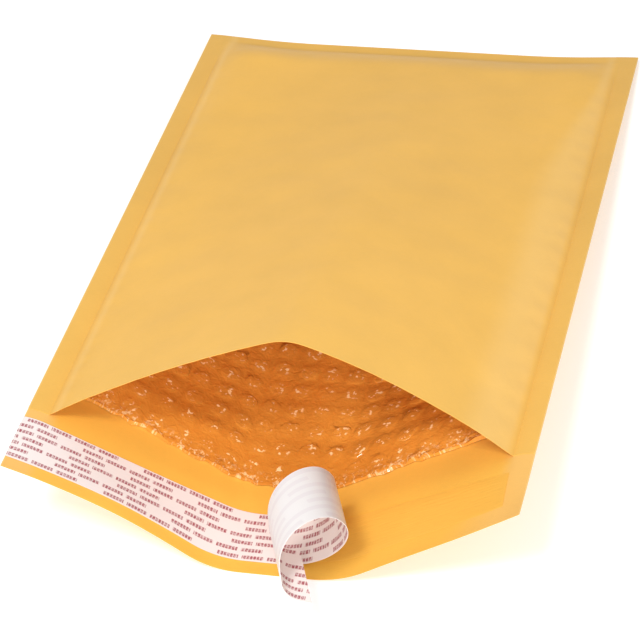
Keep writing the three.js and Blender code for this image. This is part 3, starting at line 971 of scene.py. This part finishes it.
class MAILER_OT_liner(bpy.types.Operator):
    """Make the release liner, half peeled and curled"""

    bl_idname = "mailer.liner"
    bl_label = "Release Liner"

    def execute(self, context):
        liner = context.scene.mailer_liner
        finished(liner_mesh(folded_paper(), liner), "release_liner", liner_finish(liner))
        return {"FINISHED"}


CAMERA_TURN = 14.125, 38.850, -4.459  # azimuth, elevation and roll, in degrees
CAMERA_AIM = -0.00837, 0.15191  # across, and back from the flap's edge
CAMERA_REACH = 0.9555


def soft_light(name, place, aim, size, power):
    """A square light that faces its aim."""
    lamp = bpy.data.lights.new(name, "AREA")
    lamp.shape, lamp.size, lamp.energy = "SQUARE", size, power
    holder = bpy.data.objects.new(name, lamp)
    holder.location = place
    holder.rotation_euler = (Vector(aim) - Vector(place)).to_track_quat("-Z", "Y").to_euler()
    bpy.context.scene.collection.objects.link(holder)


class MAILER_OT_stage(bpy.types.Operator):
    """Make the floor, the soft lights and the camera"""

    bl_idname = "mailer.stage"
    bl_label = "Stage"

    def execute(self, context):
        stage = context.scene.mailer_stage
        floor_mesh = bpy.data.meshes.new("floor")
        reach, drop = 6.0, -0.00015
        corners = [(x * reach, y * reach, drop) for x, y in ((-1, -1), (1, -1), (1, 1), (-1, 1))]
        floor_mesh.from_pydata(corners, [], [(0, 1, 2, 3)])
        floor_mesh.materials.append(plain_finish("floor_paint", stage.floor, 0.9, stage.glow))
        floor = bpy.data.objects.new("floor", floor_mesh)
        context.scene.collection.objects.link(floor)

        soft_light("key_light", (-0.18, -0.74, 1.12), (0.0, -0.02, 0.0), 0.30, stage.key_power)
        soft_light("fill_light", (0.30, -1.18, 0.62), (0.0, -0.05, 0.02), 0.28, stage.fill_power)
        world = bpy.data.worlds.new("studio")
        context.scene.world = world
        world.use_nodes = True
        world.node_tree.nodes["Background"].inputs["Color"].default_value = (1.0, 1.0, 1.0, 1.0)
        world.node_tree.nodes["Background"].inputs["Strength"].default_value = stage.sky

        azimuth, elevation, roll = (math.radians(turn) for turn in CAMERA_TURN)
        level_share = math.cos(elevation)
        back = Vector(
            (math.sin(azimuth) * level_share, -math.cos(azimuth) * level_share, math.sin(elevation))
        )
        level = Vector((math.cos(azimuth), math.sin(azimuth), 0.0))
        upright = back.cross(level)
        right = level * math.cos(roll) + upright * math.sin(roll)
        up = upright * math.cos(roll) - level * math.sin(roll)
        aim = Vector((CAMERA_AIM[0], KRAFT_BOX[0].y + CAMERA_AIM[1], 0.0))
        place = aim + back * CAMERA_REACH
        camera = bpy.data.cameras.new("camera")
        camera.lens, camera.sensor_width = stage.lens, 36.0
        camera.clip_start, camera.clip_end = 0.05, 30.0
        holder = bpy.data.objects.new("camera", camera)
        holder.matrix_world = Matrix((
            (right.x, up.x, back.x, place.x), (right.y, up.y, back.y, place.y),
            (right.z, up.z, back.z, place.z), (0.0, 0.0, 0.0, 1.0),
        ))
        context.scene.collection.objects.link(holder)
        context.scene.camera = holder
        context.scene.view_settings.view_transform = "Standard"
        return {"FINISHED"}


class MAILER_PT_panel(bpy.types.Panel):
    """Lists the pieces in the order they are made"""

    bl_idname = "MAILER_PT_panel"
    bl_label = "Padded Envelope"
    bl_space_type = "VIEW_3D"
    bl_region_type = "UI"
    bl_category = "Mailer"

    def draw(self, context):
        for operator, settings in STEPS:
            box = self.layout.box()
            box.operator(operator.bl_idname)
            if settings:
                group = getattr(context.scene, settings)
                for name in group.__annotations__:
                    box.prop(group, name)


STEPS = (
    (MAILER_OT_paper, "mailer_paper"),
    (MAILER_OT_film, "mailer_film"),
    (MAILER_OT_adhesive, None),
    (MAILER_OT_liner, "mailer_liner"),
    (MAILER_OT_stage, "mailer_stage"),
)
GROUPS = {
    "mailer_paper": PaperSettings,
    "mailer_film": FilmSettings,
    "mailer_liner": LinerSettings,
    "mailer_stage": StageSettings,
}


def register():
    for name, group in GROUPS.items():
        bpy.utils.register_class(group)
        setattr(bpy.types.Scene, name, bpy.props.PointerProperty(type=group))
    for operator, _ in STEPS:
        bpy.utils.register_class(operator)
    bpy.utils.register_class(MAILER_PT_panel)


def unregister():
    bpy.utils.unregister_class(MAILER_PT_panel)
    for operator, _ in reversed(STEPS):
        bpy.utils.unregister_class(operator)
    for name, group in reversed(GROUPS.items()):
        delattr(bpy.types.Scene, name)
        bpy.utils.unregister_class(group)


def main():
    """Registers the classes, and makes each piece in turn."""
    register()
    for operator, _ in STEPS:
        group, name = operator.bl_idname.split(".")
        if getattr(getattr(bpy.ops, group), name)() != {"FINISHED"}:
            raise RuntimeError(f"{operator.bl_label} was not made")
    bpy.context.view_layer.update()


if __name__ == "__main__":
    main()
